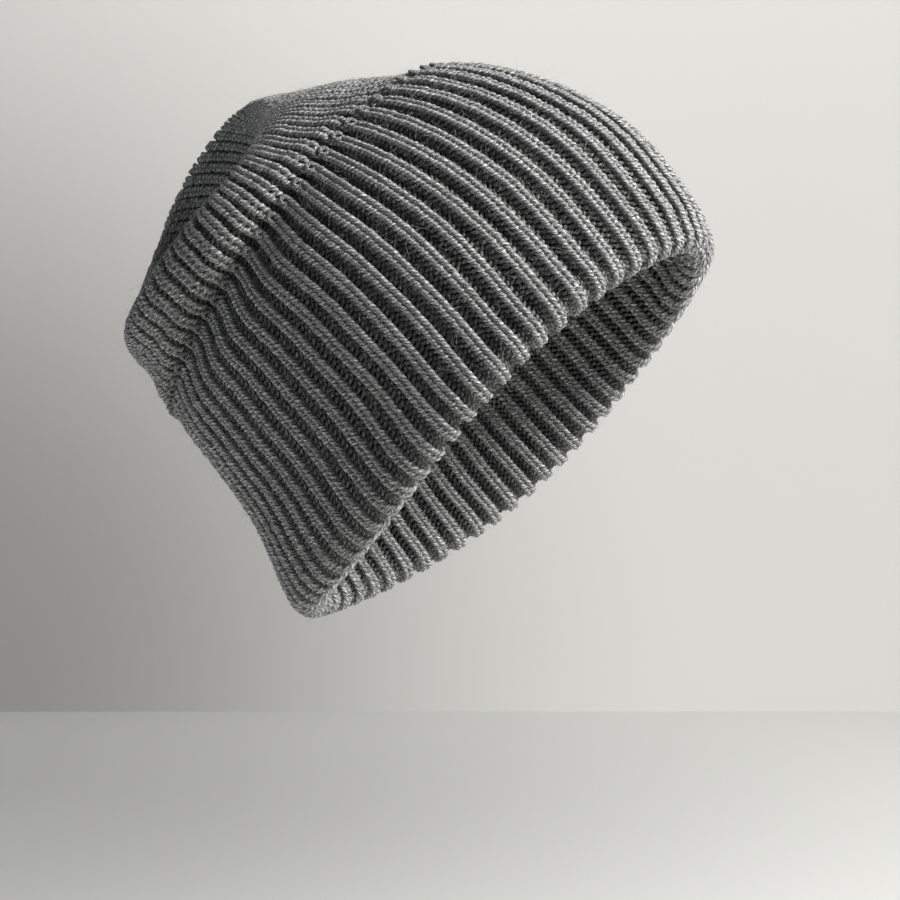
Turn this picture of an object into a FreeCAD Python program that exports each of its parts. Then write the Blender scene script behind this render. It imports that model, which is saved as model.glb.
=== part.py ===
import FreeCAD, Part
import os

# Double-layer rib-knit beanie, shown as worn, in millimetres.
# Front of the hat is -Y, up is +Z, the wearer's right is -X. The origin is the centre of the head
# opening, in the plane of the brim's folded edge. The tube is described by elliptical rings: each
# body ring has a centre (y, z), a tilt about X and two half widths; each crown ring is placed from
# the crease ring by an offset along it, an offset out of it and a bank towards the wearer's right.

doc = FreeCAD.newDocument("beanie")
sheet = doc.addObject("Spreadsheet::Sheet", "Params")

PARAMS = [
    ("knit_gauge", 6.0), ("layer_gap", 0.4), ("overrun", 3.0),
    # body rings, brim to crease
    ("brim_y", 4.27), ("brim_z", 4.48), ("brim_tilt", 43.5), ("brim_len", 110.0), ("brim_wid", 90.0),
    ("rise_y", 9.9), ("rise_z", 14.6), ("rise_tilt", 41.5), ("rise_len", 109.3), ("rise_wid", 88.5),
    ("temple_y", 18.2), ("temple_z", 29.2), ("temple_tilt", 41.0), ("temple_len", 107.5), ("temple_wid", 87.0),
    ("brow_y", 29.2), ("brow_z", 43.2), ("brow_tilt", 43.1), ("brow_len", 106.5), ("brow_wid", 86.5),
    ("side_y", 44.2), ("side_z", 56.2), ("side_tilt", 45.1), ("side_len", 103.5), ("side_wid", 84.0),
    ("dome_y", 62.7), ("dome_z", 67.2), ("dome_tilt", 47.9), ("dome_len", 97.5), ("dome_wid", 79.0),
    ("crease_y", 80.9), ("crease_z", 72.6), ("crease_tilt", 51.3), ("crease_len", 89.0), ("crease_wid", 71.0),
    # slouched crown rings, measured from the crease ring
    ("roll_along", -5.5), ("roll_out", 15.0), ("roll_len", 78.0), ("roll_wid", 76.0), ("roll_bank", 5.0),
    ("ridge_along", -12.0), ("ridge_out", 35.0), ("ridge_len", 65.5), ("ridge_wid", 74.0), ("ridge_bank", 13.0),
    ("rim_along", -16.0), ("rim_out", 56.5), ("rim_len", 47.0), ("rim_wid", 64.0), ("rim_bank", 31.0),
    ("dimple_along", -13.0), ("dimple_out", 43.0), ("dimple_len", 32.0), ("dimple_wid", 40.0), ("dimple_bank", 27.0),
    ("floor_along", -11.5), ("floor_out", 34.0), ("floor_rad", 11.0),
    # lining cap over the top of the head
    ("capa_along", -2.0), ("capa_out", 9.0), ("capa_len", 74.0), ("capa_wid", 57.0),
    ("capb_along", -5.0), ("capb_out", 16.0), ("capb_len", 55.0), ("capb_wid", 43.0),
    ("capc_along", -8.5), ("capc_out", 20.5), ("capc_len", 32.0), ("capc_wid", 26.0),
    ("capd_out", 22.0), ("capd_rad", 11.0),
    # drawn-up ends
    ("gather_hole", 5.0), ("gather_yarn", 1.3), ("tack_yarn", 1.1), ("tack_ring", 7.5),
]
for row, (name, value) in enumerate(PARAMS, start=1):
    sheet.set("A%d" % row, name)
    sheet.set("B%d" % row, repr(value))
    sheet.setAlias("B%d" % row, name)
doc.recompute()

W = "Params.knit_gauge"
G = "Params.layer_gap"


def ring_place(y, z, tilt):
    return ("placement(vector(0; %s; %s); rotation(vector(1; 0; 0); -%s) * rotation(vector(0; 0; 1); -90))"
            % (y, z, tilt))


def ellipse(name, length, width, place, cross=False):
    """An elliptical ring. cross=True is for a ring that is wider than it is long."""
    e = doc.addObject("Part::Ellipse", name)
    if cross:
        e.setExpression("MajorRadius", width)
        e.setExpression("MinorRadius", length)
        e.setExpression("Placement", place + " * placement(vector(0; 0; 0); rotation(vector(0; 0; 1); 90))")
    else:
        e.setExpression("MajorRadius", length)
        e.setExpression("MinorRadius", width)
        e.setExpression("Placement", place)
    e.Visibility = False
    return e


def loft(name, sections):
    f = doc.addObject("Part::Loft", name)
    f.Sections = sections
    f.Solid = True
    f.Ruled = False
    f.Closed = False
    f.Visibility = False
    return f


def cut(name, base, tool, label=None):
    c = doc.addObject("Part::Cut", name)
    c.Base = base
    c.Tool = tool
    if label:
        c.Label = label
    return c


BODY = ["brim", "rise", "temple", "brow", "side", "dome", "crease"]


def body_loft(name, inset):
    """Solid of the body from the brim ring to the crease ring, its wall moved in by inset."""
    rings = []
    for r in BODY:
        p = "Params." + r + "_"
        rings.append(ellipse(name + "_" + r, p + "len - (%s)" % inset, p + "wid - (%s)" % inset,
                             ring_place(p + "y", p + "z", p + "tilt")))
    return rings


def run_past(name, rings):
    """The same rings with one more beyond each end, so that the hollow is open at both ends."""
    first = doc.addObject("Part::Ellipse", name + "_below")
    first.setExpression("MajorRadius", rings[0].Name + ".MajorRadius")
    first.setExpression("MinorRadius", rings[0].Name + ".MinorRadius")
    first.setExpression("Placement", rings[0].Name + ".Placement * placement(vector(0; 0; -Params.overrun); rotation(vector(0; 0; 1); 0))")
    last = doc.addObject("Part::Ellipse", name + "_above")
    last.setExpression("MajorRadius", rings[-1].Name + ".MajorRadius - 1 mm")
    last.setExpression("MinorRadius", rings[-1].Name + ".MinorRadius - 1 mm")
    last.setExpression("Placement", rings[-1].Name + ".Placement * placement(vector(0; 0; Params.overrun); rotation(vector(0; 0; 1); 0))")
    first.Visibility = last.Visibility = False
    return loft(name, [first] + rings + [last])


# ---- the two body layers --------------------------------------------------------------------
outer_rings = body_loft("ob", "0")
outer_hull = loft("ob_hull", outer_rings)
outer_hollow = run_past("ob_hollow", body_loft("obi", W))
outer_body = cut("outer_body", outer_hull, outer_hollow)

lining_hull = loft("lb_hull", body_loft("lb", W + " + " + G))
lining_hollow = run_past("lb_hollow", body_loft("lbi", W + " * 2 + " + G))
lining_body = cut("lining_body", lining_hull, lining_hollow)

# ---- the brim fold: half-round bead under both layers ---------------------------------------
bead = "(" + W + " + " + G + " / 2)"
spine = ellipse("fold_spine", "Params.brim_len - " + bead, "Params.brim_wid - " + bead,
                ring_place("Params.brim_y", "Params.brim_z", "Params.brim_tilt"))
section = doc.addObject("Part::Circle", "fold_section")
section.setExpression("Radius", bead)
section.setExpression("Placement", "fold_spine.Placement * placement(vector(fold_spine.MajorRadius; 0; 0); rotation(vector(1; 0; 0); 90))")
section.Visibility = False
round_bead = doc.addObject("Part::Sweep", "fold_round")
round_bead.Sections = [section]
round_bead.Spine = (spine, ["Edge1"])
round_bead.Solid = True
round_bead.Frenet = True
round_bead.Visibility = False
above = doc.addObject("Part::Box", "fold_above")
above.setExpression("Length", "Params.brim_len * 3")
above.setExpression("Width", "Params.brim_wid * 3")
above.setExpression("Height", W + " * 4")
above.setExpression("Placement", "fold_spine.Placement * placement(vector(-Params.brim_len * 1.5; -Params.brim_wid * 1.5; 0); rotation(vector(0; 0; 1); 0))")
above.Visibility = False
brim_fold = cut("brim_fold", round_bead, above)

# ---- the outer crown: rolled slouch with a drawn-in middle -----------------------------------


def crown_place(along, out, bank, sink="0"):
    return ("ob_crease.Placement * placement(vector(%s; 0; %s); rotation(vector(1; 0; 0); %s)) * "
            "placement(vector(0; 0; -(%s)); rotation(vector(0; 0; 1); 0))" % (along, out, bank, sink))


def crown_ring(name, key, grow, sink, cross):
    p = "Params." + key + "_"
    return ellipse(name, p + "len + (%s)" % grow, p + "wid + (%s)" % grow,
                   crown_place(p + "along", p + "out", p + "bank", sink), cross)


start = ellipse("oc_crease", "Params.crease_len", "Params.crease_wid", "ob_crease.Placement")
floor = ellipse("oc_floor", "Params.floor_rad", "Params.floor_rad",
                crown_place("Params.floor_along", "Params.floor_out", "0"))
crown_hull = loft("oc_hull", [
    start,
    crown_ring("oc_roll", "roll", "0", "0", False),
    crown_ring("oc_ridge", "ridge", "0", "0", True),
    crown_ring("oc_rim", "rim", "0", "0", True),
    crown_ring("oc_dimple", "dimple", "0", "0", True),
    floor])
below = ellipse("oci_below", "Params.crease_len - " + W, "Params.crease_wid - " + W,
                "ob_crease.Placement * placement(vector(0; 0; -Params.overrun); rotation(vector(0; 0; 1); 0))")
start_in = ellipse("oci_crease", "Params.crease_len - " + W, "Params.crease_wid - " + W, "ob_crease.Placement")
floor_in = ellipse("oci_floor", "Params.floor_rad + " + W + " * 0.5", "Params.floor_rad + " + W + " * 0.5",
                   crown_place("Params.floor_along", "Params.floor_out", "0", W))
crown_hollow = loft("oc_hollow", [
    below, start_in,
    crown_ring("oci_roll", "roll", "-" + W, "0", False),
    crown_ring("oci_ridge", "ridge", "-" + W, W + " * 0.15", True),
    crown_ring("oci_rim", "rim", "0", W + " * 1.05", True),
    crown_ring("oci_dimple", "dimple", W + " * 0.8", W + " * 0.6", True),
    floor_in])
crown_shell = cut("oc_shell", crown_hull, crown_hollow)
crown_shell.Visibility = False


def gather_hole(name, place):
    c = doc.addObject("Part::Cylinder", name)
    c.setExpression("Radius", "Params.gather_hole")
    c.setExpression("Height", W + " * 4")
    c.setExpression("Placement", place + " * placement(vector(0; 0; -" + W + " * 2); rotation(vector(0; 0; 1); 0))")
    c.Visibility = False
    return c


outer_hole = gather_hole("oc_hole", crown_place("Params.floor_along", "Params.floor_out", "0", W + " / 2"))
outer_crown = cut("outer_crown", crown_shell, outer_hole)

# ---- the lining crown: a plain cap over the top of the head ----------------------------------
INS = W + " + " + G


def cap_ring(name, key, grow, sink):
    p = "Params." + key + "_"
    return ellipse(name, p + "len - (%s)" % grow, p + "wid - (%s)" % grow,
                   crown_place(p + "along", p + "out", "0", sink))


cap_hull = loft("lc_hull", [
    ellipse("lc_crease", "Params.crease_len - (" + INS + ")", "Params.crease_wid - (" + INS + ")", "ob_crease.Placement"),
    cap_ring("lc_a", "capa", "0", "0"), cap_ring("lc_b", "capb", "0", "0"), cap_ring("lc_c", "capc", "0", "0"),
    ellipse("lc_d", "Params.capd_rad", "Params.capd_rad", crown_place("Params.floor_along", "Params.capd_out", "0"))])
cap_hollow = loft("lc_hollow", [
    ellipse("lci_below", "Params.crease_len - (" + INS + " + " + W + ")", "Params.crease_wid - (" + INS + " + " + W + ")",
            "ob_crease.Placement * placement(vector(0; 0; -Params.overrun); rotation(vector(0; 0; 1); 0))"),
    ellipse("lci_crease", "Params.crease_len - (" + INS + " + " + W + ")", "Params.crease_wid - (" + INS + " + " + W + ")", "ob_crease.Placement"),
    cap_ring("lci_a", "capa", W + " * 0.8", W + " * 0.55"), cap_ring("lci_b", "capb", W + " * 0.5", W + " * 0.85"),
    cap_ring("lci_c", "capc", "0", W),
    ellipse("lci_d", "Params.capd_rad", "Params.capd_rad", crown_place("Params.floor_along", "Params.capd_out", "0", W))])
cap_shell = cut("lc_shell", cap_hull, cap_hollow)
cap_shell.Visibility = False
lining_hole = gather_hole("lc_hole", crown_place("Params.floor_along", "Params.capd_out", "0", W + " / 2"))
lining_crown = cut("lining_crown", cap_shell, lining_hole)

# ---- drawn-up yarn rings and the tack between the crowns -------------------------------------


def yarn_ring(name, place):
    t = doc.addObject("Part::Torus", name)
    t.setExpression("Radius1", "Params.gather_hole - Params.gather_yarn")
    t.setExpression("Radius2", "Params.gather_yarn")
    t.setExpression("Placement", place)
    return t


outer_gather = yarn_ring("outer_gather", crown_place("Params.floor_along", "Params.floor_out", "0", W + " * 0.35"))
lining_gather = yarn_ring("lining_gather", crown_place("Params.floor_along", "Params.capd_out", "0", W + " * 0.65"))

tacks = []
for k in range(3):
    c = doc.addObject("Part::Cylinder", "tack_%s" % "abc"[k])
    c.setExpression("Radius", "Params.tack_yarn")
    c.setExpression("Height", "Params.floor_out - " + W + " - Params.capd_out")
    c.setExpression("Placement", crown_place("Params.floor_along", "Params.capd_out", "0")
                    + " * placement(vector(0; 0; 0); rotation(vector(0; 0; 1); %d)) * placement(vector(Params.tack_ring; 0; 0); rotation(vector(0; 0; 1); 0))" % (120 * k))
    c.Visibility = False
    tacks.append(c)
tack = doc.addObject("Part::MultiFuse", "crown_tack")
tack.Shapes = tacks

doc.recompute()

NODES = {
    "outer_body": outer_body, "outer_crown": outer_crown, "brim_fold": brim_fold,
    "lining_body": lining_body, "lining_crown": lining_crown,
    "outer_gather": outer_gather, "lining_gather": lining_gather, "crown_tack": tack,
}
for name, obj in NODES.items():
    obj.Label = name

for obj in doc.Objects:
    if "Invalid" in obj.State or "Error" in obj.State:
        raise RuntimeError("recompute failed: %s %s" % (obj.Name, obj.State))
    shape = getattr(obj, "Shape", None)
    if shape is not None and (shape.isNull() or not shape.isValid()):
        raise RuntimeError("bad shape: %s" % obj.Name)

os.makedirs("parts", exist_ok=True)
for name, obj in NODES.items():
    obj.Shape.exportStep("parts/%s.step" % name)
    b = obj.Shape.BoundBox
    print("%-14s solids %d vol %.0f box %.1f %.1f %.1f .. %.1f %.1f %.1f" % (
        name, len(obj.Shape.Solids), obj.Shape.Volume, b.XMin, b.YMin, b.ZMin, b.XMax, b.YMax, b.ZMax))
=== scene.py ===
import math

import bpy
import numpy as np
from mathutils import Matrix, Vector


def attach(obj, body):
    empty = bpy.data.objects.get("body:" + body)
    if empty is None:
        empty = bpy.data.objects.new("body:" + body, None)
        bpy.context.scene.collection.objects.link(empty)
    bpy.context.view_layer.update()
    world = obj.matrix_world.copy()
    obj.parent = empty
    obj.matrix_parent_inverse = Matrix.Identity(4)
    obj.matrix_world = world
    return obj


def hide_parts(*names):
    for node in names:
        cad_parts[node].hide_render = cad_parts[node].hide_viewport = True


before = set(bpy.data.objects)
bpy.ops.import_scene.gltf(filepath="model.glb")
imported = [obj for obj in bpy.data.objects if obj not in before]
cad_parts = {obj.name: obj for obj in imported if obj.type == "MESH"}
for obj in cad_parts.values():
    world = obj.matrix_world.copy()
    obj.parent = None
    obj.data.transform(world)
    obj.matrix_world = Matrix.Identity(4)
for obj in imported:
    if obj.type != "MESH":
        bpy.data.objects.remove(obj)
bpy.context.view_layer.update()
rng = np.random.default_rng(7)
MM = 0.001

# ------------------------------------------------------------------------------------------------
# The hat's fabric as one continuous middle surface, in millimetres: from the lining's drawn-in end,
# down the lining, round the brim fold, up the outside and over the slouch to the outer drawn-in end.
# ------------------------------------------------------------------------------------------------
NAPE = [5.5, 4.0, 2.2, 0.8, 0.0, 0.0, 0.0]  # how much lower each ring hangs at the nape
BODY = [  # centre y, z, tilt, half length, half width, saddle, cloverleaf, nape narrowing
    (4.27, 4.48, 43.5, 109.6, 89.5, 3.5, -2.0, -0.08),
    (9.9, 14.6, 41.5, 109.3, 88.5, 2.0, -1.0, -0.05),
    (18.2, 29.2, 41.0, 107.5, 87.2, 0.8, -0.4, -0.02),
    (29.2, 43.2, 43.1, 106.5, 86.5, 0.2, 0.0, 0.0),
    (44.2, 56.2, 45.1, 103.5, 84.0, 0.0, 0.0, 0.0),
    (62.7, 67.2, 47.9, 97.5, 79.0, 0.8, 0.0, 0.0),
    (80.9, 72.6, 51.3, 89.0, 71.0, 1.5, 0.0, 0.0),
]
CREASE = len(BODY) - 1


def body_ring(k, inset, out=0.0, lean=0.0):
    y, z, t, a, b, h2, h3, egg = BODY[k]
    t = math.radians(t)
    n = np.array([0, math.sin(t), math.cos(t)])
    c = np.array([0, y, z]) + out * n
    return dict(c=c, t=t, a=a - inset, b=b - inset, roll=0.0, psi=0.0, h2=h2, h3=h3, egg=egg, lean=lean, turn=0.0, sq=2.0, nape=NAPE[k])


def crown_ring(along, out, a, b, roll=0.0, psi=0.0, sink=0.0, lean=0.0, cx=0.0, h2=0.0, turn=0.0, sq=2.0):
    y, z, t = BODY[CREASE][0], BODY[CREASE][1], math.radians(BODY[CREASE][2])
    e1 = np.array([0, -math.cos(t), math.sin(t)])
    n = np.array([0, math.sin(t), math.cos(t)])
    r = math.radians(roll)
    nr = -math.sin(r) * np.array([1.0, 0, 0]) + math.cos(r) * n
    c = np.array([cx, y, z]) + along * e1 + out * n - sink * nr
    return dict(c=c, t=t, a=a, b=b, roll=r, psi=math.radians(psi), h2=h2, h3=0.0, egg=0.0, lean=lean, turn=math.radians(turn), sq=sq, nape=0.0)


_T = np.linspace(0, 2 * np.pi, 721)


def ring_raw(R, c, s):
    t, ro, ps = R["t"], R["roll"], R["psi"]
    e1 = np.array([0, -math.cos(t), math.sin(t)])
    e2 = np.array([1.0, 0, 0])
    n = np.array([0, math.sin(t), math.cos(t)])
    e2r = math.cos(ro) * e2 + math.sin(ro) * n
    nr = -math.sin(ro) * e2 + math.cos(ro) * n
    e1, e2r = math.cos(ps) * e1 + math.sin(ps) * e2r, -math.sin(ps) * e1 + math.cos(ps) * e2r
    lift = R["h2"] * (c ** 2 - s ** 2) + R["h3"] * (4 * c ** 3 - 3 * c) - R["nape"] * ((1 - c) / 2) ** 2
    # sq above 2 squares the ring off: the slouch lies in flat sides with rounded corners
    c, s = np.sign(c) * np.abs(c) ** (2 / R["sq"]), np.sign(s) * np.abs(s) ** (2 / R["sq"])
    side = R["b"] * s * (1 - R["egg"] * c)
    return R["c"][None, :] + (R["a"] * c)[:, None] * e1 + side[:, None] * e2r + lift[:, None] * nr


def ring_points(R, phi):
    """Points at even girth steps, measured from the front centre towards the wearer's left."""
    phi = phi + R["lean"] * np.sin(phi) + R["turn"]
    D = ring_raw(R, np.cos(_T), np.sin(_T))
    L = np.concatenate([[0], np.cumsum(np.linalg.norm(np.diff(D, axis=0), axis=1))])
    L /= L[-1]
    u = phi / (2 * np.pi)
    ta = np.interp(u - np.floor(u), L, _T)
    return ring_raw(R, np.cos(ta), np.sin(ta))


GA = 3.0  # half a layer
GB = 9.4  # from the outer face to the middle of the lining
RH = (GB - GA) / 2  # turn radius of the fold
LEANS = [0.0, 0.026, 0.06, 0.085, 0.09, 0.07, -0.017]

lining = [
    crown_ring(-11.5, 19.2, 5.6, 5.6),
    crown_ring(-11.5, 19.2, 11.0, 11.0),
    crown_ring(-8.5, 17.6, 32.0, 26.0),
    crown_ring(-5.0, 13.5, 53.5, 41.5),
    crown_ring(-2.0, 7.4, 71.6, 54.6),
] + [body_ring(k, GB, lean=LEANS[k]) for k in range(CREASE, -1, -1)]
hem = []
for ang in (45, 90, 135):  # lining side first
    a = math.radians(ang)
    hem.append(body_ring(0, (GA + GB) / 2 + RH * math.cos(a), out=-RH * math.sin(a)))
outer = [body_ring(k, GA, lean=LEANS[k]) for k in range(0, CREASE + 1)] + [
    crown_ring(-2.5, 5.5, 82.6, 71.8, 1.5, lean=-0.055, turn=-0.3),
    crown_ring(-5.5, 15.0, 75.2, 73.4, 5.0, lean=-0.11, turn=-0.8),
    crown_ring(-12.0, 35.0, 63.0, 71.6, 13.0, lean=-0.22, turn=-2.0, sq=2.2),
    crown_ring(-17.0, 54.5, 43.0, 63.5, 30.2, 1.5, sink=3.0, lean=-0.25, h2=-2.5, turn=-2.0, sq=2.7),
    crown_ring(-16.0, 45.5, 40.5, 59.5, 28.8, 1.0, sink=2.6, lean=-0.25, h2=-1.5, turn=-12.0, sq=2.7),
    crown_ring(-12.5, 37.0, 28.0, 34.0, 22.0, -1.0, sink=2.4, lean=-0.12, turn=-22.0, sq=2.3),
    crown_ring(-11.5, 34.0, 13.0, 13.0, 8.0, 0.0, sink=2.6, turn=-30.0),
    crown_ring(-11.5, 34.0, 5.8, 5.8, 0.0, 0.0, sink=2.8, turn=-32.0),
]
rings = lining + hem + outer
I_HEM = len(lining) + 1  # the lowest ring of the fold
I_CREASE = len(lining) + len(hem) + CREASE

NPHI = 64 * 14
phis = np.linspace(0, 2 * np.pi, NPHI + 1)[:-1]
KN = np.array([ring_points(R, phis) for R in rings])
chord = np.linalg.norm(np.diff(KN, axis=0), axis=2).mean(1)
S = np.concatenate([[0], np.cumsum(chord)])


def spline(KN, S, m):
    K = len(S)
    hh = np.diff(S)
    A = np.zeros((K, K))
    B = np.zeros(KN.shape)
    A[0, 0] = A[-1, -1] = 1
    for i in range(1, K - 1):
        A[i, i - 1], A[i, i], A[i, i + 1] = hh[i - 1], 2 * (hh[i - 1] + hh[i]), hh[i]
        B[i] = 6 * ((KN[i + 1] - KN[i]) / hh[i] - (KN[i] - KN[i - 1]) / hh[i - 1])
    M = np.linalg.solve(A, B.reshape(K, -1)).reshape(B.shape)
    i = np.clip(np.searchsorted(S, m) - 1, 0, K - 2)
    x, y, g = (m - S[i])[:, None, None], (S[i + 1] - m)[:, None, None], hh[i][:, None, None]
    return M[i] * y ** 3 / (6 * g) + M[i + 1] * x ** 3 / (6 * g) + (KN[i] / g - M[i] * g / 6) * y + (KN[i + 1] / g - M[i + 1] * g / 6) * x


def smooth_noise(x, y, seed, period=None):
    """Sum of a few random waves; periodic over 2 pi in x."""
    r = np.random.default_rng(seed)
    v = 0
    for _ in range(6):
        kx, ky = r.integers(1, 7), r.uniform(0.3, 2.2)
        v = v + np.sin(kx * x + ky * y + r.uniform(0, 6.28))
    return v / 6 ** 0.5 / 1.2


fine = np.arange(0, S[-1], 0.7)
FINE = spline(KN, S, fine)
# slack in the fabric: slow swells, more of them in the slouch
amt = np.interp(fine, [0, S[I_HEM], S[I_CREASE] - 25, S[I_CREASE] + 15, S[-1] - 30, S[-1]], [0.2, 0.35, 0.5, 1.3, 1.2, 0.0])
swell = smooth_noise(phis[None, :], fine[:, None] / 22.0, 3) * amt[:, None]


def normals_of(P):
    du = np.roll(P, -1, 1) - np.roll(P, 1, 1)
    dv = np.gradient(P, axis=0)
    n = np.cross(du, dv)
    return n / (np.linalg.norm(n, axis=2, keepdims=True) + 1e-9)


groove = -1.9 * np.exp(-((fine - S[I_CREASE]) / 3.2) ** 2)
FINE = FINE + normals_of(FINE) * (swell + groove[:, None])[:, :, None]

ROW = 2.55  # a stitch's height in mm
PER = 6  # grid steps in a row


def resample(lo, hi, extra_lo, extra_hi):
    """The stretch of surface between two knots, as a grid with even steps along each wale."""
    a, b = np.searchsorted(fine, lo), np.searchsorted(fine, hi)
    seg = FINE[a:b + 1]
    L = np.concatenate([np.zeros((1, NPHI)), np.cumsum(np.linalg.norm(np.diff(seg, axis=0), axis=2), 0)])
    fold = np.abs(fine[a:b + 1] - S[I_HEM])
    dens = (1 + 0.45 * np.exp(-(fold / 8.0) ** 2))[:, None]
    step = np.linalg.norm(np.diff(seg, axis=0), axis=2) * (dens[1:] + dens[:-1]) / 2
    L = np.concatenate([np.zeros((1, NPHI)), np.cumsum(step, 0)])
    rows = int(round(L[-1].mean() / ROW))
    g = np.linspace(0, 1, rows * PER + 1)
    out = np.empty((len(g), NPHI, 3))
    for j in range(NPHI):
        for c in range(3):
            out[:, j, c] = np.interp(g * L[-1, j], L[:, j], seg[:, j, c])
    return rows, out, L


rows_l, grid_l, L_l = resample(0, S[I_HEM], 0, 0)
rows_o, grid_o, L_o = resample(S[I_HEM], S[-1], 0, 0)
GRID = np.concatenate([grid_l[:-1], grid_o])
ROWS = rows_l + rows_o
NRM = normals_of(GRID)
# girth at each grid row
GIRTH = np.linalg.norm(np.roll(GRID, -1, 1) - GRID, axis=2).sum(1)
# where the crease lies, as a row number for each wale
i_cr = np.searchsorted(fine, S[I_CREASE]) - np.searchsorted(fine, S[I_HEM])
ROW_CREASE = rows_l + L_o[i_cr] / L_o[-1] * rows_o
print("rows lining", rows_l, "outer", rows_o, "girth brim", GIRTH[rows_l * PER], "lengths", L_o[-1].min(), L_o[-1].max())


def sample(row, phi):
    """Point and normal at fractional row and angle."""
    g = np.clip(row * PER, 0, ROWS * PER - 1e-6)
    i = np.floor(g).astype(int)
    f = (g - i)[..., None]
    u = (phi / (2 * np.pi)) % 1.0 * NPHI
    j = np.floor(u).astype(int) % NPHI
    w = (u - np.floor(u))[..., None]
    j2 = (j + 1) % NPHI
    i2 = np.minimum(i + 1, ROWS * PER)

    def q(A):
        return (A[i, j] * (1 - w) + A[i, j2] * w) * (1 - f) + (A[i2, j] * (1 - w) + A[i2, j2] * w) * f

    p, n = q(GRID), q(NRM)
    return p, n / (np.linalg.norm(n, axis=-1, keepdims=True) + 1e-9)


# ------------------------------------------------------------------------------------------------
# Yarn: every course is one closed strand, knit loops standing out and purl loops lying back
# ------------------------------------------------------------------------------------------------
N0 = 64
R_YARN = 1.10


def wales_of(row):
    """How many rib pairs a course has: they are decreased near the drawn-in ends."""
    girth = np.interp(row * PER, np.arange(len(GIRTH)), GIRTH)
    n = N0
    while girth / n < 3.5 and n > 8:
        n //= 2
    return n


def stitch_noise(J, N, seed, amount):
    return np.random.default_rng(seed).normal(0, amount, (J, 2 * N))


def course_centres(rows, N, nk, npl, seed):
    """Centre line of each course in rows. Returns points (J, M, 3), radius (J, M) and surface normals."""
    rows = np.asarray(rows, float)
    J = len(rows)
    girth = np.interp(rows * PER, np.arange(len(GIRTH)), GIRTH)
    pitch = girth / N
    # beyond the crease the purl columns are drawn in, so the knit columns lie closer
    past = np.clip((rows - float(ROW_CREASE.mean())) / 2.5, 0, 1)
    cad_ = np.clip((3.95 + 0.95 * past) / pitch, 0.40, 0.74)[:, None]
    per = nk + npl
    M = N * per
    idx = np.arange(M)
    pair, loc = idx // per, idx % per
    knit = loc < nk
    tau = np.where(knit, loc / nk, (loc - nk) / npl) * 2 * np.pi
    st = pair * 2 + np.where(knit, 0, 1)
    g = 1 - np.abs(np.cos(tau / 2)) ** 3
    # sideways: the loop's neck is narrow, its head wide; the two legs lean by different amounts
    alpha, sigma = 0.185, -0.15
    u = tau / (2 * np.pi) + np.where(knit, alpha, 0.15) * np.sin(2 * tau) - np.where(knit, sigma, 0.0) * np.cos(tau) * g
    nx = stitch_noise(J, N, seed, 0.022)[:, st]
    ny = stitch_noise(J, N, seed + 1, 0.035)[:, st]
    nz = stitch_noise(J, N, seed + 2, 0.10)[:, st]
    frac = np.where(knit[None, :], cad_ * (u[None, :] + nx * g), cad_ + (1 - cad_) * (u[None, :] + nx * g))
    wander = smooth_noise(pair[None, :] * (2 * np.pi / N) * 3, rows[:, None] / 9.0, 11) * 0.045
    phi = (pair[None, :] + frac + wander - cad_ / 2) * (2 * np.pi / N)
    amp = np.where(knit, 0.92, 0.86)
    y = -amp[None, :] * np.cos(tau)[None, :] * (1 + ny) + 0.04 * ny
    sc = np.clip(pitch / 8.0, 0.6, 1.0)[:, None]
    z = np.where(knit[None, :], 2.35 * g - 0.75 * g * np.cos(2 * tau), -2.2 * g + 1.5 * g * np.cos(2 * tau))
    hem_flat = 1 - 0.30 * np.exp(-((rows - rows_l) / 2.6) ** 2)[:, None]
    z = (z + nz * g) * sc * hem_flat
    p, n = sample(rows[:, None] + y, phi)
    rad = R_YARN * np.clip(pitch / 6.2, 0.55, 1.0)[:, None] * (1 + 0.04 * nz / 0.1)
    rad = rad * np.where(knit, 1.0, 0.86)[None, :] * (1 - 0.10 * (1 - g))[None, :]
    return p + n * z[..., None], rad, n, z / sc


def frames(C, n0):
    """Rotation-minimising frames of closed curves C (J, M, 3)."""
    T = np.roll(C, -1, 1) - np.roll(C, 1, 1)
    T /= np.linalg.norm(T, axis=2, keepdims=True) + 1e-12
    J, M, _ = C.shape
    U = np.empty_like(C)
    u = n0[:, 0] - (n0[:, 0] * T[:, 0]).sum(1)[:, None] * T[:, 0]
    u /= np.linalg.norm(u, axis=1)[:, None] + 1e-12
    U[:, 0] = u

    def step(u, c0, c1, t0, t1):
        v1 = c1 - c0
        k1 = (v1 * v1).sum(1)[:, None] + 1e-12
        ul = u - (2 / k1) * (v1 * u).sum(1)[:, None] * v1
        tl = t0 - (2 / k1) * (v1 * t0).sum(1)[:, None] * v1
        v2 = t1 - tl
        k2 = (v2 * v2).sum(1)[:, None] + 1e-12
        return ul - (2 / k2) * (v2 * ul).sum(1)[:, None] * v2

    for i in range(1, M):
        u = step(u, C[:, i - 1], C[:, i], T[:, i - 1], T[:, i])
        U[:, i] = u
    last = step(u, C[:, -1], C[:, 0], T[:, -1], T[:, 0])
    B0 = np.cross(T[:, 0], U[:, 0])
    ang = np.arctan2((last * B0).sum(1), (last * U[:, 0]).sum(1))
    a = -ang[:, None] * np.arange(M)[None, :] / M
    B = np.cross(T, U)
    U2 = np.cos(a)[..., None] * U + np.sin(a)[..., None] * B
    return T, U2, np.cross(T, U2)


def tubes(C, rad, n0, sides):
    """Closed tubes as vertex rings. Returns vertices (J, M, sides, 3)."""
    T, U, B = frames(C, n0)
    b = np.arange(sides) / sides * 2 * np.pi
    return C[:, :, None] + rad[:, :, None, None] * (np.cos(b)[None, None, :, None] * U[:, :, None] + np.sin(b)[None, None, :, None] * B[:, :, None])


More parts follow.
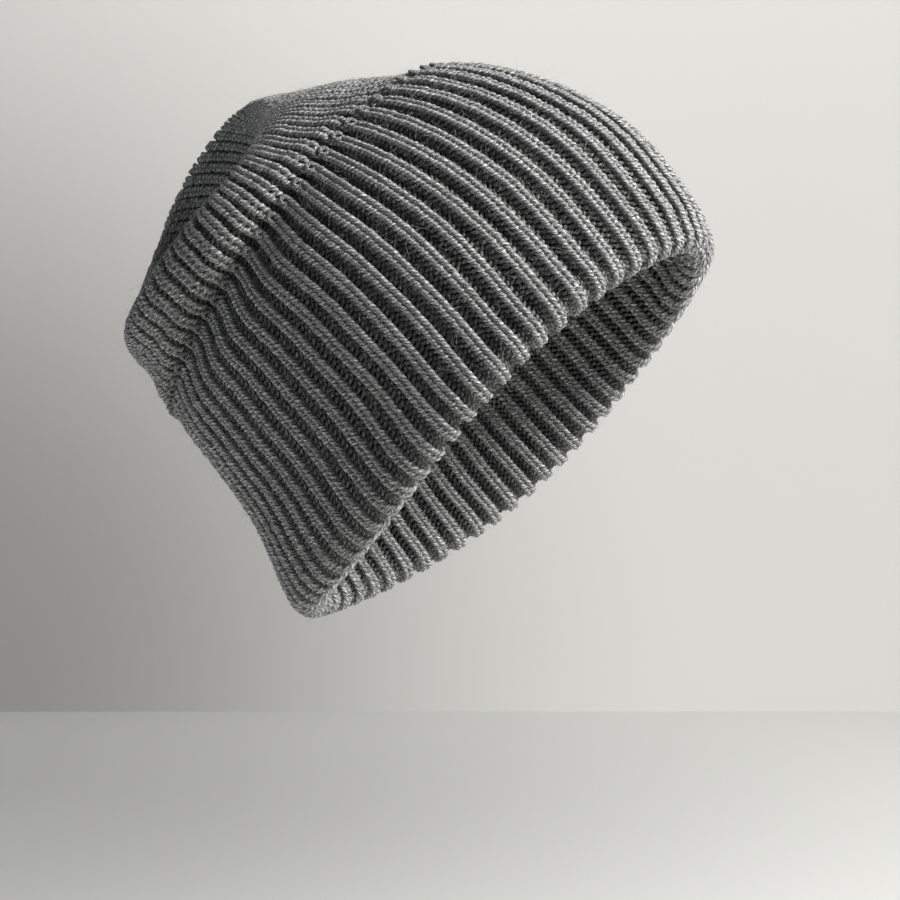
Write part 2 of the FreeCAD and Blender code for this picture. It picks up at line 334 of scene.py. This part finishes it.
def length_along(C):
    d = np.linalg.norm(np.roll(C, -1, 1) - C, axis=2)
    return np.concatenate([np.zeros((len(C), 1)), np.cumsum(d, 1)], 1)


def mesh_from(name, verts, quads, uv=None, bake=None):
    me = bpy.data.meshes.new(name)
    verts = np.ascontiguousarray(verts.reshape(-1, 3) * MM, dtype=np.float32)
    quads = np.ascontiguousarray(quads, dtype=np.int32)
    me.vertices.add(len(verts))
    me.vertices.foreach_set("co", verts.ravel())
    me.loops.add(quads.size)
    me.loops.foreach_set("vertex_index", quads.ravel())
    me.polygons.add(len(quads))
    me.polygons.foreach_set("loop_start", np.arange(0, quads.size, quads.shape[1], dtype=np.int32))
    me.polygons.foreach_set("use_smooth", np.ones(len(quads), dtype=bool))
    me.update(calc_edges=True)
    if bake is not None:
        layer = me.uv_layers.new(name="OFBake")
        layer.data.foreach_set("uv", np.ascontiguousarray(bake, dtype=np.float32).ravel())
    if uv is not None:
        layer = me.uv_layers.new(name="yarn")
        layer.data.foreach_set("uv", np.ascontiguousarray(uv, dtype=np.float32).ravel())
    me.validate(verbose=False)
    ob = bpy.data.objects.new(name, me)
    bpy.context.scene.collection.objects.link(ob)
    return ob


def tube_piece(name, sets, sides):
    """One mesh of closed strands. sets is a list of (centres, radius, normals)."""
    V, Q, UV, BK, DP = [], [], [], [], []
    base = 0
    strips = []
    for C, rad, n0, zz in sets:
        J, M, _ = C.shape
        vt = tubes(C, rad, n0, sides)
        V.append(vt.reshape(-1, 3))
        # each vertex's depth: its course's z plus how far it stands out on its strand, lower on the side facing into
        # the fabric; it drives the painted trough shade
        DP.append((zz[:, :, None] + 0.8 * ((vt - C[:, :, None]) * n0[:, :, None]).sum(-1)).ravel())
        jj, mm, ss = np.meshgrid(np.arange(J), np.arange(M), np.arange(sides), indexing="ij")

        def at(m, s):
            return base + (jj * M + m % M) * sides + s % sides

        Q.append(np.stack([at(mm, ss), at(mm + 1, ss), at(mm + 1, ss + 1), at(mm, ss + 1)], -1).reshape(-1, 4))
        L = length_along(C)
        # the ply pattern closes on itself, so its turns are a whole number of rounds
        Lr = L / L[:, -1:] * np.round(L[:, -1:] / 4.2) * 4.2
        off = (np.arange(J) * 0.37 % 1.0)[:, None, None] * 0
        la, lb = Lr[jj, mm], Lr[jj, mm + 1]
        va, vb = ss / sides, (ss + 1) / sides
        row_id = (jj + base % 97) * 13.7
        uv = np.stack([np.stack([la + row_id, va], -1), np.stack([lb + row_id, va], -1), np.stack([lb + row_id, vb], -1), np.stack([la + row_id, vb], -1)], -2)
        UV.append(uv.reshape(-1, 2))
        strips.append((J, M, jj, mm, ss))
        base += J * M * sides
    total = sum(J for J, *_ in strips)
    parts = max(1, int(round(math.sqrt(strips[0][1] / (sides * 2.0) / max(total, 1) * 1.0)))) if total else 1
    row0 = 0
    for J, M, jj, mm, ss in strips:
        seg = int(math.ceil(M / parts))
        k, m = mm // seg, mm % seg
        strip = (row0 + jj) * parts + k
        n_strips = total * parts
        pad = 0.12
        u0, u1 = (m + 0.0) / seg, (m + 1.0) / seg
        v0 = (strip + pad + (1 - 2 * pad) * ss / sides) / n_strips
        v1 = (strip + pad + (1 - 2 * pad) * (ss + 1) / sides) / n_strips
        u0, u1 = 0.002 + 0.996 * u0, 0.002 + 0.996 * u1
        BK.append(np.stack([np.stack([u0, v0], -1), np.stack([u1, v0], -1), np.stack([u1, v1], -1), np.stack([u0, v1], -1)], -2).reshape(-1, 2))
        row0 += J
    ob = mesh_from(name, np.concatenate(V), np.concatenate(Q), np.concatenate(UV), np.concatenate(BK))
    set_depth(ob, np.concatenate(DP))
    return ob


def set_depth(ob, z):
    """How far out of the fabric each point stands, 0 at the bottom of a trough to 1 on a rib; the wool's colour is
    darkened by it as painted shade.
    """
    at = ob.data.attributes.new("depth", "FLOAT", "POINT")
    d = np.clip((np.asarray(z) + 2.6) / 4.4, 0, 1) * np.ones(len(ob.data.vertices))
    at.data.foreach_set("value", np.ascontiguousarray(d, dtype=np.float32))


# ------------------------------------------------------------------------------------------------
# Materials
# ------------------------------------------------------------------------------------------------


def node(nt, kind, **kw):
    n = nt.nodes.new(kind)
    for k, v in kw.items():
        setattr(n, k, v)
    return n


def wool(name, dark, mid, light, ply=True):
    m = bpy.data.materials.new(name)
    m.use_nodes = True
    nt = m.node_tree
    nt.nodes.clear()
    out = node(nt, "ShaderNodeOutputMaterial")
    bs = node(nt, "ShaderNodeBsdfPrincipled")
    nt.links.new(bs.outputs[0], out.inputs[0])
    bs.inputs["Roughness"].default_value = 0.95
    bs.inputs["Specular IOR Level"].default_value = 0.15
    bs.inputs["Sheen Weight"].default_value = 0.2
    bs.inputs["Sheen Roughness"].default_value = 0.5
    bs.inputs["Sheen Tint"].default_value = (0.9, 0.9, 0.9, 1)
    uvn = node(nt, "ShaderNodeUVMap", uv_map="yarn")
    sep = node(nt, "ShaderNodeSeparateXYZ")
    nt.links.new(uvn.outputs[0], sep.inputs[0])

    def math_(op, a, b=None, c=None):
        n = node(nt, "ShaderNodeMath", operation=op)
        for i, v in enumerate((a, b, c)):
            if v is None:
                continue
            if isinstance(v, (int, float)):
                n.inputs[i].default_value = v
            else:
                nt.links.new(v, n.inputs[i])
        return n.outputs[0]

    # plies: three strands twisted once in about 4 mm
    twist = math_("ADD", math_("MULTIPLY", sep.outputs[0], 3 * 2 * math.pi / 4.2), math_("MULTIPLY", sep.outputs[1], 3 * 2 * math.pi))
    groove = math_("POWER", math_("ABSOLUTE", math_("SINE", math_("MULTIPLY", twist, 0.5))), 0.6)
    # fibres: streaks that follow the twist
    comb = node(nt, "ShaderNodeCombineXYZ")
    ang = math_("ADD", math_("MULTIPLY", sep.outputs[1], 2 * math.pi), math_("MULTIPLY", sep.outputs[0], 2 * math.pi / 4.2))
    nt.links.new(math_("MULTIPLY", math_("SINE", ang), 0.9), comb.inputs[0])
    nt.links.new(math_("MULTIPLY", math_("COSINE", ang), 0.9), comb.inputs[1])
    nt.links.new(math_("MULTIPLY", sep.outputs[0], 0.32), comb.inputs[2])
    fib = node(nt, "ShaderNodeTexNoise")
    fib.inputs["Scale"].default_value = 2.6
    fib.inputs["Detail"].default_value = 3.0
    fib.inputs["Roughness"].default_value = 0.65
    nt.links.new(comb.outputs[0], fib.inputs["Vector"])
    ramp = node(nt, "ShaderNodeValToRGB")
    ramp.color_ramp.elements[0].position = 0.30
    ramp.color_ramp.elements[0].color = (*[dark] * 3, 1)
    ramp.color_ramp.elements[1].position = 0.70
    ramp.color_ramp.elements[1].color = (*[light] * 3, 1)
    e = ramp.color_ramp.elements.new(0.52)
    e.color = (*[mid] * 3, 1)
    nt.links.new(fib.outputs["Fac"], ramp.inputs[0])
    # painted shade: the colour is darkened in the grooves between plies
    mix = node(nt, "ShaderNodeMix", data_type="RGBA", blend_type="MULTIPLY")
    mix.inputs[0].default_value = 1.0
    nt.links.new(ramp.outputs[0], mix.inputs[6])
    gc = node(nt, "ShaderNodeCombineColor")
    ply_groove_shade = math_("MULTIPLY_ADD", groove, 1.0, 0.12)
    for i in range(3):
        nt.links.new(ply_groove_shade, gc.inputs[i])
    nt.links.new(gc.outputs[0], mix.inputs[7])
    # painted shade: the colour is darkened by the depth attribute towards the troughs and the strands' inner sides,
    # near black at the bottom of a trough
    dep = node(nt, "ShaderNodeAttribute", attribute_name="depth")
    trough_shade = node(nt, "ShaderNodeValToRGB")
    trough_shade.color_ramp.elements[0].position = 0.27
    trough_shade.color_ramp.elements[0].color = (0.02, 0.02, 0.02, 1)
    trough_shade.color_ramp.elements[1].position = 0.88
    trough_shade.color_ramp.elements[1].color = (0.985, 0.992, 1, 1)
    half = trough_shade.color_ramp.elements.new(0.48)
    half.color = (0.335, 0.338, 0.34, 1)
    nt.links.new(dep.outputs["Fac"], trough_shade.inputs[0])
    trough_shade_mix = node(nt, "ShaderNodeMix", data_type="RGBA", blend_type="MULTIPLY")
    trough_shade_mix.inputs[0].default_value = 1.0
    nt.links.new(trough_shade.outputs[0], trough_shade_mix.inputs[7])
    nt.links.new(mix.outputs[2], trough_shade_mix.inputs[6])
    nt.links.new(trough_shade_mix.outputs[2], bs.inputs["Base Color"])
    bump = node(nt, "ShaderNodeBump")
    bump.inputs["Strength"].default_value = 0.9
    bump.inputs["Distance"].default_value = 0.0007
    height = math_("ADD", math_("MULTIPLY", groove, 0.8), math_("MULTIPLY", fib.outputs["Fac"], 0.7))
    nt.links.new(height, bump.inputs["Height"])
    nt.links.new(bump.outputs[0], bs.inputs["Normal"])
    return m


def plain(name, colour, rough=0.9):
    m = bpy.data.materials.new(name)
    m.use_nodes = True
    b = m.node_tree.nodes["Principled BSDF"]
    b.inputs["Base Color"].default_value = (*colour, 1)
    b.inputs["Roughness"].default_value = rough
    b.inputs["Specular IOR Level"].default_value = 0.2
    return m


WOOL = wool("grey_marl_wool", 0.05, 0.33, 1.0)
HAIR = plain("wool_fibre", (0.45, 0.448, 0.44), 0.8)

# ------------------------------------------------------------------------------------------------
# Build the courses, in bands
# ------------------------------------------------------------------------------------------------
row_list = np.arange(0.9, ROWS - 0.6, 1.0)
NK, NP, SIDES = 16, 12, 6
bands = {}
zone_nodes = {
    "lining_crown": "lining_crown", "lining_body": "lining_body", "brim_fold": "brim_fold",
    "outer_body": "outer_body", "outer_crown": "outer_crown",
}


def zone_of(r):
    if r < rows_l - 3:
        frac = L_l[np.searchsorted(fine, S[len(lining) - 1 - CREASE])] / L_l[-1]
        return "lining_crown" if r < float(frac.mean()) * rows_l else "lining_body"
    if r < rows_l + 3:
        return "brim_fold"
    return "outer_body" if r < float(ROW_CREASE.mean()) else "outer_crown"


for r in row_list:
    bands.setdefault(zone_of(r), []).append(r)

pieces = []
for zone, rs in bands.items():
    inner = zone in ("lining_crown",)
    nk, npl, sd = (12, 10, 5) if inner else (NK, NP, SIDES)
    limit = 190000 / (N0 * (nk + npl) * sd)
    groups = max(1, math.ceil(len(rs) / limit))
    chunks = np.array_split(np.array(rs), groups)
    for gi, ch in enumerate(chunks):
        sets = []
        for N in (64, 32, 16, 8):
            sel = [r for r in ch if wales_of(r) == N]
            if sel:
                sets.append(course_centres(sel, N, nk, npl, int(1000 + sel[0] * 10)))
        nm = "knit_" + zone + ("_%d" % (gi + 1) if groups > 1 else "")
        ob = tube_piece(nm, sets, sd)
        ob.data.materials.append(WOOL)
        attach(ob, "root")
        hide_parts(zone_nodes[zone])
        pieces.append(ob)
        print(nm, "faces", len(ob.data.polygons))

# ------------------------------------------------------------------------------------------------
# A thin near-black sheet behind each layer: painted shade that shows through the gaps between the yarns
# ------------------------------------------------------------------------------------------------


def shade_sheet(name, r0, r1, nodes):
    gi = np.unique(np.round(np.linspace(r0 * PER, r1 * PER, int((r1 - r0) * 1.5))).astype(int))
    gj = np.arange(0, NPHI, 4)
    P, Nn = GRID[np.ix_(gi, gj)], NRM[np.ix_(gi, gj)]
    off = 2.2 * np.clip(GIRTH[gi] / 160.0, 0.0, 1.0)[:, None, None]
    A, B = P - Nn * off, P - Nn * (off + 0.3)
    R, M = len(gi), len(gj)
    V = np.concatenate([A.reshape(-1, 3), B.reshape(-1, 3)])
    i, j = np.meshgrid(np.arange(R - 1), np.arange(M), indexing="ij")
    a, b, c, d = i * M + j, i * M + (j + 1) % M, (i + 1) * M + (j + 1) % M, (i + 1) * M + j
    Q1 = np.stack([a, b, c, d], -1).reshape(-1, 4)
    Q2 = Q1[:, ::-1] + R * M
    e = np.arange(M)
    low = np.stack([e, e + R * M, (e + 1) % M + R * M, (e + 1) % M], -1)
    top = (R - 1) * M
    high = np.stack([top + e, top + (e + 1) % M, top + (e + 1) % M + R * M, top + e + R * M], -1)
    u0, u1, v0, v1 = j / M, (j + 1) / M, i / (R - 1) * 0.49, (i + 1) / (R - 1) * 0.49
    bk = np.stack([np.stack([u0, v0], -1), np.stack([u1, v0], -1), np.stack([u1, v1], -1), np.stack([u0, v1], -1)], -2).reshape(-1, 4, 2)
    BK = np.concatenate([bk, bk[:, ::-1] + [0, 0.5], np.full((2 * M, 4, 2), 0.995)])
    ob = mesh_from(name, V, np.concatenate([Q1, Q2, low, high]), None, BK.reshape(-1, 2))
    ob.data.materials.append(SHADE_SHEET)
    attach(ob, "root")
    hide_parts(*nodes)
    return ob


# the sheet's near-black colour is painted shade
SHADE_SHEET = plain("painted_shade_backing", (0.010, 0.010, 0.010), 1.0)
SHADE_SHEET_OUT = shade_sheet("shade_sheet_outer", rows_l, ROWS - 1, ("outer_body", "outer_crown"))
SHADE_SHEET_IN = shade_sheet("shade_sheet_lining", 1, rows_l, ("lining_body", "lining_crown"))

# ------------------------------------------------------------------------------------------------
# Drawn-up yarn ends and the small knots along the crease
# ------------------------------------------------------------------------------------------------


def loose_tube(name, curves, radii, sides=7, mat=WOOL, nodes=(), closed=False, depth=2.0):
    """Open or closed strands of their own length; the open ones get flat capped ends."""
    V, Q, UV, BK = [], [], [], []
    base = 0
    n_c = len(curves)
    for ci, (C, r) in enumerate(zip(curves, radii)):
        C = np.asarray(C, float)
        M = len(C)
        r = np.full(M, r) if np.isscalar(r) else np.asarray(r)
        if closed:
            ref = np.tile(np.array([[0.3, 0.5, 0.8]]), (M, 1))
            vt = tubes(C[None], r[None], ref[None], sides)[0]
        else:
            T = np.gradient(C, axis=0)
            T /= np.linalg.norm(T, axis=1, keepdims=True) + 1e-12
            ref = np.array([0.31, 0.52, 0.79])
            U = np.empty_like(C)
            u = ref - (ref @ T[0]) * T[0]
            U[0] = u / np.linalg.norm(u)
            for i in range(1, M):
                u = U[i - 1] - (U[i - 1] @ T[i]) * T[i]
                U[i] = u / (np.linalg.norm(u) + 1e-12)
            B = np.cross(T, U)
            b = np.arange(sides) / sides * 2 * np.pi
            vt = C[:, None] + r[:, None, None] * (np.cos(b)[None, :, None] * U[:, None] + np.sin(b)[None, :, None] * B[:, None])
        V.append(vt.reshape(-1, 3))
        mr = np.arange(M if closed else M - 1)
        mm, ss = np.meshgrid(mr, np.arange(sides), indexing="ij")
        q = np.stack([base + mm % M * sides + ss, base + (mm + 1) % M * sides + ss, base + (mm + 1) % M * sides + (ss + 1) % sides, base + mm % M * sides + (ss + 1) % sides], -1).reshape(-1, 4)
        Q.append(q)
        d = np.concatenate([[0], np.cumsum(np.linalg.norm(np.diff(np.vstack([C, C[:1]]), axis=0), axis=1))])
        la, lb = d[mm], d[mm + 1]
        va, vb = ss / sides, (ss + 1) / sides
        UV.append(np.stack([np.stack([la, va], -1), np.stack([lb, va], -1), np.stack([lb, vb], -1), np.stack([la, vb], -1)], -2).reshape(-1, 2))
        u0, u1 = mm / len(mr), (mm + 1) / len(mr)
        v0, v1 = (ci + 0.1 + 0.8 * ss / sides) / n_c, (ci + 0.1 + 0.8 * (ss + 1) / sides) / n_c
        BK.append(np.stack([np.stack([u0, v0], -1), np.stack([u1, v0], -1), np.stack([u1, v1], -1), np.stack([u0, v1], -1)], -2).reshape(-1, 2))
        base += M * sides
        if not closed:  # close each end with a fan of quads folded on the ring's first corner
            for k0 in (base - sides, base - M * sides):
                ring = [k0 + i for i in range(sides)]
                if k0 == base - M * sides:
                    ring = ring[::-1]
                for i in range(1, sides - 1, 2):
                    quad = [ring[0], ring[i], ring[i + 1], ring[min(i + 2, sides - 1)]]
                    if len(set(quad)) == 4:
                        Q.append(np.array([quad]))
                        UV.append(np.zeros((4, 2)))
                        BK.append(np.tile([[0.5, (ci + 0.5) / n_c]], (4, 1)))
    ob = mesh_from(name, np.concatenate(V), np.concatenate(Q), np.concatenate(UV), np.concatenate(BK))
    set_depth(ob, depth)
    ob.data.materials.append(mat)
    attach(ob, "root")
    if nodes:
        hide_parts(*nodes)
    return ob


def ring_curve(R, M=72, wob=0.0):
    a = np.linspace(0, 2 * np.pi, M + 1)[:-1]
    p = ring_raw(R, np.cos(a), np.sin(a))
    return p + wob * np.stack([np.sin(3 * a), np.cos(4 * a), np.sin(5 * a + 1)], -1)


loose_tube("outer_gather_yarn", [ring_curve(crown_ring(-11.5, 34.0, 3.7, 3.7, sink=2.4), wob=0.25)], [1.2], closed=True, nodes=("outer_gather",))
loose_tube("lining_gather_yarn", [ring_curve(crown_ring(-11.5, 18.6, 3.7, 3.7), wob=0.25)], [1.2], closed=True, nodes=("lining_gather",))

t5 = math.radians(BODY[CREASE][2])
E1 = np.array([0, -math.cos(t5), math.sin(t5)])
NN = np.array([0, math.sin(t5), math.cos(t5)])
C5 = np.array([0, BODY[CREASE][0], BODY[CREASE][1]])
tk = []
for k in range(3):
    a = 2 * math.pi * k / 3
    off = C5 - 11.5 * E1 + 7.5 * (math.cos(a) * E1 + math.sin(a) * np.array([1.0, 0, 0]))
    s = np.linspace(0, 1, 10)
    tk.append(off[None, :] + (20.5 + 9.5 * s)[:, None] * NN + 0.4 * np.stack([np.sin(6 * s), np.cos(5 * s), 0 * s], -1))
loose_tube("crown_tack_yarn", tk, [1.05] * 3, sides=6, nodes=("crown_tack",))

# small knots where each rib turns at the crease
knots = []
for k in range(N0):
    ph = 2 * math.pi * k / N0
    rc = float(np.interp(ph, phis, ROW_CREASE)) - 0.1
    p, n = sample(np.array([rc]), np.array([ph]))
    pu, _ = sample(np.array([rc + 0.5]), np.array([ph]))
    ps, _ = sample(np.array([rc]), np.array([ph + 0.01]))
    p, n = p[0], n[0]
    up = pu[0] - p
    up /= np.linalg.norm(up)
    sd = ps[0] - p
    sd /= np.linalg.norm(sd)
    a = np.linspace(-0.5, 5.4, 22) + rng.uniform(-0.5, 0.5)
    rr = 1.40 + rng.uniform(-0.2, 0.2)
    c = p + n * 4.0
    knots.append(c + rr * (np.cos(a)[:, None] * sd + np.sin(a)[:, None] * up) + (0.9 * np.sin(a / 1.9))[:, None] * n)
# depth 0.5 gives the knots painted shade, about 70 % of full brightness
loose_tube("crease_knots", knots, [0.88] * len(knots), sides=6, depth=0.5)

# ------------------------------------------------------------------------------------------------
# Fuzz: fine fibres that stand off the yarn
# ------------------------------------------------------------------------------------------------


def fuzz(name, count, row_lo, row_hi, seed, side=1.0):
    r = np.random.default_rng(seed)
    row = r.uniform(row_lo, row_hi, count)
    phi = r.uniform(0, 2 * np.pi, count)
    p, n = sample(row, phi)
    pu, _ = sample(row + 0.3, phi)
    ps, _ = sample(row, phi + 0.01)
    up = pu - p
    up /= np.linalg.norm(up, axis=1, keepdims=True) + 1e-9
    sd = ps - p
    sd /= np.linalg.norm(sd, axis=1, keepdims=True) + 1e-9
    a = r.uniform(0, 2 * np.pi, count)[:, None]
    flat = np.cos(a) * up + np.sin(a) * sd
    lift = np.abs(r.normal(0.35, 0.35, count))[:, None]
    d0 = flat + lift * n
    d0 /= np.linalg.norm(d0, axis=1, keepdims=True)
    bend = r.normal(0, 0.55, (count, 3))
    length = np.clip(r.gamma(2.2, 1.5, count), 1.2, 9.0)[:, None]
    start = p + n * r.uniform(0.6, 2.6, count)[:, None]
    K = 5
    pts = []
    for k in range(K):
        s = k / (K - 1)
        pts.append(start + d0 * length * s + bend * length * s * s * 0.5 - n * (length * s * s * 0.15))
    P = np.stack(pts, 1)
    T = np.gradient(P, axis=1)
    T /= np.linalg.norm(T, axis=2, keepdims=True) + 1e-9
    ref = np.array([0.31, 0.52, 0.79])
    U = np.cross(T, ref)
    U /= np.linalg.norm(U, axis=2, keepdims=True) + 1e-9
    B = np.cross(T, U)
    w = (np.array([1.0, 0.95, 0.8, 0.6, 0.3]) * 0.034)[None, :, None, None] * r.uniform(0.7, 1.25, count)[:, None, None, None]
    b = np.arange(3) / 3 * 2 * np.pi
    V = P[:, :, None] + w * (np.cos(b)[None, None, :, None] * U[:, :, None] + np.sin(b)[None, None, :, None] * B[:, :, None])
    hh, kk, ss = np.meshgrid(np.arange(count), np.arange(K - 1), np.arange(3), indexing="ij")
    q = np.stack([(hh * K + kk) * 3 + ss, (hh * K + kk + 1) * 3 + ss, (hh * K + kk + 1) * 3 + (ss + 1) % 3, (hh * K + kk) * 3 + (ss + 1) % 3], -1).reshape(-1, 4)
    tri = np.concatenate([q[:, [0, 1, 2]], q[:, [0, 2, 3]]])
    h1 = np.arange(count)
    caps = np.concatenate([np.stack([h1 * K * 3 + 2, h1 * K * 3 + 1, h1 * K * 3], -1), np.stack([(h1 * K + K - 1) * 3, (h1 * K + K - 1) * 3 + 1, (h1 * K + K - 1) * 3 + 2], -1)])
    wide = int(math.ceil(math.sqrt(count)))
    h0 = np.concatenate([np.repeat(np.arange(count), (K - 1) * 3)] * 2 + [h1, h1])
    cell = np.stack([h0 % wide, h0 // wide], -1)[:, None, :] / wide
    bake = cell + np.array([[0.2, 0.2], [0.8, 0.2], [0.5, 0.8]])[None] / wide
    ob = mesh_from(name, V, np.concatenate([tri, caps]), None, bake.reshape(-1, 2))
    ob.data.materials.append(HAIR)
    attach(ob, "root")
    return ob


for k in range(2):
    fuzz("fibre_fuzz_body_%d" % (k + 1), 6500, rows_l - 4, float(ROW_CREASE.mean()), 21 + k)
    fuzz("fibre_fuzz_crown_%d" % (k + 1), 6500, float(ROW_CREASE.mean()) - 6, ROWS - 8, 31 + k)

# ------------------------------------------------------------------------------------------------
# Stage, light and camera
# ------------------------------------------------------------------------------------------------
AZ, EL = math.radians(-68.0), math.radians(4.0)
back = Vector((math.sin(AZ) * math.cos(EL), -math.cos(AZ) * math.cos(EL), math.sin(EL)))
right = Vector((math.cos(AZ), math.sin(AZ), 0.0))
up = back.cross(right)
PX, PY, SCALE, DIST = 512.1, 438.6, 2.6, 1.0
target = (right * (450 - PX) + up * (PY - 450)) / SCALE * MM
cam_data = bpy.data.cameras.new("camera")
cam = bpy.data.objects.new("camera", cam_data)
bpy.context.scene.collection.objects.link(cam)
cam_data.sensor_width = 36.0
cam_data.lens = 36.0 * SCALE * 1000 * DIST / 900.0
cam.location = target + back * DIST
cam.rotation_mode = "QUATERNION"
cam.rotation_quaternion = (-back).to_track_quat("-Z", "Y")
cam_data.clip_start, cam_data.clip_end = 0.02, 60
bpy.context.scene.camera = cam

FLOOR_Z = -0.35
WALL_D = 1.42


def quad(name, corners, mat):
    me = bpy.data.meshes.new(name)
    me.from_pydata([tuple(c) for c in corners], [], [(0, 1, 2, 3)])
    me.update()
    ob = bpy.data.objects.new(name, me)
    bpy.context.scene.collection.objects.link(ob)
    me.materials.append(mat)
    return ob


flat_back = Vector((back.x, back.y, 0)).normalized()
wall_c = -flat_back * WALL_D
side_v = Vector((right.x, right.y, 0)).normalized()


def shaded(name, colour, rough, spots):
    """A surface with painted shadow: a little darker in soft round patches, given as (centre, reach, how much is left).
    """
    m = plain(name, colour, rough)
    nt = m.node_tree
    pos = node(nt, "ShaderNodeTexCoord").outputs["Object"]
    last = None
    for c, reach, left in spots:
        d = node(nt, "ShaderNodeVectorMath", operation="DISTANCE")
        nt.links.new(pos, d.inputs[0])
        d.inputs[1].default_value = tuple(c)
        r = node(nt, "ShaderNodeMapRange", interpolation_type="SMOOTHSTEP")
        r.inputs["From Min"].default_value = reach * 0.1
        r.inputs["From Max"].default_value = reach
        r.inputs["To Min"].default_value = left
        r.inputs["To Max"].default_value = 1.0
        nt.links.new(d.outputs["Value"], r.inputs["Value"])
        if last is None:
            last = r.outputs[0]
        else:
            x = node(nt, "ShaderNodeMath", operation="MULTIPLY")
            nt.links.new(last, x.inputs[0])
            nt.links.new(r.outputs[0], x.inputs[1])
            last = x.outputs[0]
    mix = node(nt, "ShaderNodeMix", data_type="RGBA", blend_type="MULTIPLY")
    mix.inputs[0].default_value = 1.0
    mix.inputs[6].default_value = (*colour, 1)
    comb = node(nt, "ShaderNodeCombineColor")
    for i in range(3):
        nt.links.new(last, comb.inputs[i])
    nt.links.new(comb.outputs[0], mix.inputs[7])
    nt.links.new(mix.outputs[2], nt.nodes["Principled BSDF"].inputs["Base Color"])
    return m


def on_wall(px, py):
    """The wall point that the camera sees at a picture position."""
    d = -back * DIST * SCALE * 1000 + right * (px - 450) + up * (450 - py)
    o = cam.location
    k = (wall_c - o).dot(flat_back) / d.dot(flat_back)
    return o + d * k


# painted shadow low on the left of the view, and painted shade high on its right
WALL = shaded("wall_paint_and_painted_shadow", (0.80, 0.795, 0.77), 0.95, [(on_wall(-60, 600), 0.72, 0.46), (on_wall(1050, 250), 0.95, 0.82)])


def on_floor(px, py):
    d = -back * DIST * SCALE * 1000 + right * (px - 450) + up * (450 - py)
    o = cam.location
    return o + d * ((FLOOR_Z - o.z) / d.z)


# painted shadow on the table towards the left of the view
TABLE = shaded("table_top", (0.74, 0.74, 0.72), 0.7, [(on_floor(-60, 830), 0.85, 0.62)])
quad("wall", [wall_c - side_v * 5 + Vector((0, 0, FLOOR_Z)), wall_c + side_v * 5 + Vector((0, 0, FLOOR_Z)), wall_c + side_v * 5 + Vector((0, 0, 4)), wall_c - side_v * 5 + Vector((0, 0, 4))], WALL)
quad("table", [(-6, -6, FLOOR_Z), (6, -6, FLOOR_Z), (6, 6, FLOOR_Z), (-6, 6, FLOOR_Z)], TABLE)

world = bpy.data.worlds.new("room")
bpy.context.scene.world = world
world.use_nodes = True
bg = world.node_tree.nodes["Background"]
bg.inputs[0].default_value = (0.80, 0.82, 0.85, 1)
bg.inputs[1].default_value = 0.085


def area(name, loc, aim, size, power, colour=(1, 1, 1)):
    d = bpy.data.lights.new(name, "AREA")
    d.shape = "RECTANGLE"
    d.size, d.size_y = size
    d.energy = power
    d.color = colour
    o = bpy.data.objects.new(name, d)
    bpy.context.scene.collection.objects.link(o)
    o.location = loc
    o.rotation_mode = "QUATERNION"
    o.rotation_quaternion = (Vector(loc) - Vector(aim)).to_track_quat("Z", "Y")
    return o


centre = Vector((0.0, 0.04, 0.04))
# window: to the picture's upper right and in front
area("window", centre + right * 1.24 + up * 1.00 + back * 0.64, centre, (0.6, 0.6), 60.0, (1.0, 0.99, 0.975))
# bounce from the room, to the picture's left
area("bounce", centre - right * 1.25 - up * 0.05 + back * 0.20, centre, (0.9, 0.9), 2.8, (0.96, 0.98, 1.0))

# faint light from the far side of the room
area("far_room", centre - back * 0.95 + up * 1.15 + right * 0.2, centre, (0.7, 0.7), 3.0, (0.97, 0.98, 1.0))

scene = bpy.context.scene
scene.view_settings.view_transform = "Standard"
scene.view_settings.look = "None"
scene.view_settings.exposure = 0.0
